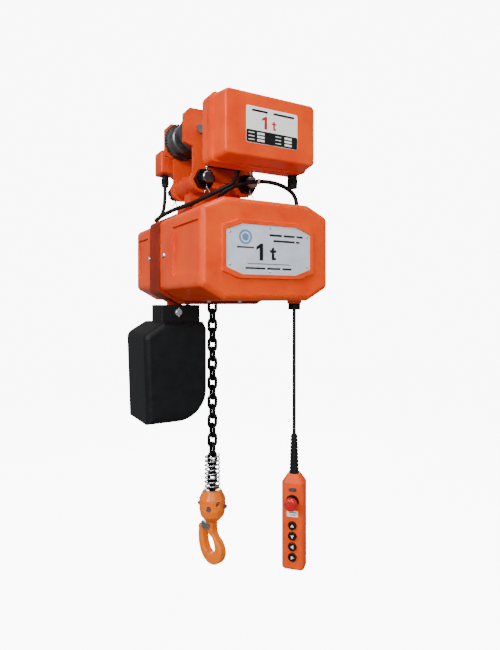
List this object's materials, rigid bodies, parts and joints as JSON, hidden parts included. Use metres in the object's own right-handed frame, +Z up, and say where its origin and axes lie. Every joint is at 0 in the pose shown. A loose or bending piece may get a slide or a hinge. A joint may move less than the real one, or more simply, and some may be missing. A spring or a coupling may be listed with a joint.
{
  "type": "electric chain hoist",
  "caption": "Electric chain hoist hung from a motor-driven beam trolley, with a load chain and swivel hook, a chain container and a push-button pendant.",
  "frame": {"origin": "running centre on top of the beam's lower flange, above the load chain", "axes": "+X along the beam, -Y towards the control box and nameplate, +Z up; the load chain hangs on the Z axis"},
  "size_m": [0.3076, 0.449, 0.992],
  "materials": {
    "orange_paint": "gloss",
    "orange_steel": "gloss",
    "dark_red_paint": "satin",
    "hook_paint": "gloss",
    "black_steel": "satin",
    "bright_steel": "satin",
    "wheel_steel": "machined",
    "chrome": "polished",
    "chain_black": "blackened",
    "plate_silver": "satin",
    "black_plastic": "matte",
    "black_rubber": "matte",
    "pendant_orange": "satin",
    "button_black": "gloss",
    "stop_red": "gloss"
  },
  "bodies": {
    "hoist": {"front_side_plate": "orange_steel", "rear_side_plate": "orange_steel", "suspension_shafts": "bright_steel", "spacer_collars": "orange_steel", "castle_nuts": "black_steel", "split_pins": "chrome", "wheel_axles": "bright_steel", "ball_bearings": "bright_steel", "trolley_gearcase": "orange_steel", "trolley_motor": "orange_steel", "motor_terminal_box": "orange_steel", "control_box_bracket": "black_steel", "control_box_base": "orange_paint", "control_box_cover": "orange_paint", "contactors": "black_plastic", "cable_glands": "black_plastic", "hanger": "orange_steel", "frame_bolts": "black_steel", "hoist_frame": "dark_red_paint", "front_cover": "orange_paint", "rear_cover": "orange_paint", "cover_screws": "chrome", "nameplate": "plate_silver", "nameplate_rivets": "chrome", "chain_guide": "black_steel", "motor_stator": "bright_steel", "brake_coil": "black_plastic", "slack_chain": "chain_black", "chain_container": "black_plastic", "container_pin": "chrome", "motor_cable": "black_rubber", "control_cable": "black_rubber"},
    "front_wheel_left": {"front_wheel_left": "wheel_steel"},
    "front_wheel_right": {"front_wheel_right": "wheel_steel"},
    "geared_wheel_left": {"geared_wheel_left": "wheel_steel"},
    "geared_wheel_right": {"geared_wheel_right": "wheel_steel"},
    "trolley_pinion": {"drive_pinion": "bright_steel"},
    "sheave": {"load_sheave": "bright_steel", "output_gear": "bright_steel"},
    "layshaft": {"intermediate_gear": "bright_steel"},
    "rotor": {"motor_rotor": "bright_steel"},
    "hook_block": {"load_chain": "chain_black", "buffer_spring": "chrome", "hook_block_front": "hook_paint", "hook_block_rear": "hook_paint", "block_bolts": "black_steel"},
    "hook": {"hook": "hook_paint", "hook_nut": "black_steel", "latch_pin": "bright_steel"},
    "latch": {"hook_latch": "black_steel"},
    "pendant": {"pendant_cable": "black_rubber", "cable_sleeve": "black_rubber", "pendant_front_shell": "pendant_orange", "pendant_rear_shell": "pendant_orange", "contact_block": "black_plastic"},
    "stop_button": {"stop_button": "stop_red"},
    "up_button": {"up_button": "button_black"},
    "down_button": {"down_button": "button_black"},
    "left_button": {"left_button": "button_black"},
    "right_button": {"right_button": "button_black"}
  },
  "joints": [
    {"name": "front_wheel_left_spin", "type": "hinge", "parent": "hoist", "child": "front_wheel_left", "pos_m": [-0.055, -0.03, 0.031], "axis": [0, 1, 0], "continuous": true},
    {"name": "front_wheel_right_spin", "type": "hinge", "parent": "hoist", "child": "front_wheel_right", "pos_m": [0.055, -0.03, 0.031], "axis": [0, 1, 0], "continuous": true},
    {"name": "geared_wheel_left_spin", "type": "hinge", "parent": "hoist", "child": "geared_wheel_left", "pos_m": [-0.055, 0.03, 0.031], "axis": [0, 1, 0], "continuous": true},
    {"name": "geared_wheel_right_spin", "type": "hinge", "parent": "hoist", "child": "geared_wheel_right", "pos_m": [0.055, 0.03, 0.031], "axis": [0, 1, 0], "continuous": true},
    {"name": "trolley_pinion_spin", "type": "hinge", "parent": "hoist", "child": "trolley_pinion", "pos_m": [0, 0.045, 0.031], "axis": [0, 1, 0], "continuous": true},
    {"name": "hook_lift", "type": "slide", "parent": "hoist", "child": "hook_block", "axis": [0, 0, 1], "range_m": [-0.075, 0.072]},
    {"name": "sheave_spin", "type": "hinge", "parent": "hoist", "child": "sheave", "pos_m": [-0.03342, 0, -0.232], "axis": [0, 1, 0], "range_deg": [-135, 135]},
    {"name": "layshaft_spin", "type": "hinge", "parent": "hoist", "child": "layshaft", "pos_m": [0.01033, -0.05, -0.232], "axis": [0, 1, 0], "range_deg": [-305, 305]},
    {"name": "rotor_spin", "type": "hinge", "parent": "hoist", "child": "rotor", "pos_m": [-0.03342, 0.05, -0.232], "axis": [0, 1, 0], "range_deg": [-1215, 1215]},
    {"name": "hook_swivel", "type": "hinge", "parent": "hook_block", "child": "hook", "pos_m": [0, 0, -0.8], "axis": [0, 0, 1], "continuous": true},
    {"name": "latch_pivot", "type": "hinge", "parent": "hook", "child": "latch", "pos_m": [-0.00108, 0.00385, -0.817], "axis": [0.9627, 0.2706, 0], "range_deg": [-38, 0], "stiffness_Nm_per_rad": 0.05, "springref_deg": 17.19},
    {"name": "pendant_swing", "type": "hinge", "parent": "hoist", "child": "pendant", "pos_m": [0.088, -0.19, -0.327], "axis": [0, 1, 0], "range_deg": [-15, 15]},
    {"name": "stop_button_press", "type": "slide", "parent": "pendant", "child": "stop_button", "axis": [0.7071, 0.7071, 0], "range_m": [0, 0.005], "stiffness_N_per_m": 400, "springref_m": -0.003},
    {"name": "up_button_press", "type": "slide", "parent": "pendant", "child": "up_button", "axis": [0.7071, 0.7071, 0], "range_m": [0, 0.003], "stiffness_N_per_m": 400, "springref_m": -0.003},
    {"name": "down_button_press", "type": "slide", "parent": "pendant", "child": "down_button", "axis": [0.7071, 0.7071, 0], "range_m": [0, 0.003], "stiffness_N_per_m": 400, "springref_m": -0.003},
    {"name": "left_button_press", "type": "slide", "parent": "pendant", "child": "left_button", "axis": [0.7071, 0.7071, 0], "range_m": [0, 0.003], "stiffness_N_per_m": 400, "springref_m": -0.003},
    {"name": "right_button_press", "type": "slide", "parent": "pendant", "child": "right_button", "axis": [0.7071, 0.7071, 0], "range_m": [0, 0.003], "stiffness_N_per_m": 400, "springref_m": -0.003}
  ],
  "couplings": [
    {"joint": "geared_wheel_right_spin", "follows": "geared_wheel_left_spin", "ratio": 1},
    {"joint": "trolley_pinion_spin", "follows": "geared_wheel_left_spin", "ratio": -2.2353},
    {"joint": "sheave_spin", "follows": "hook_lift", "rad_per_m": -29.92},
    {"joint": "layshaft_spin", "follows": "hook_lift", "rad_per_m": 69.813},
    {"joint": "rotor_spin", "follows": "hook_lift", "rad_per_m": -279.25}
  ]
}
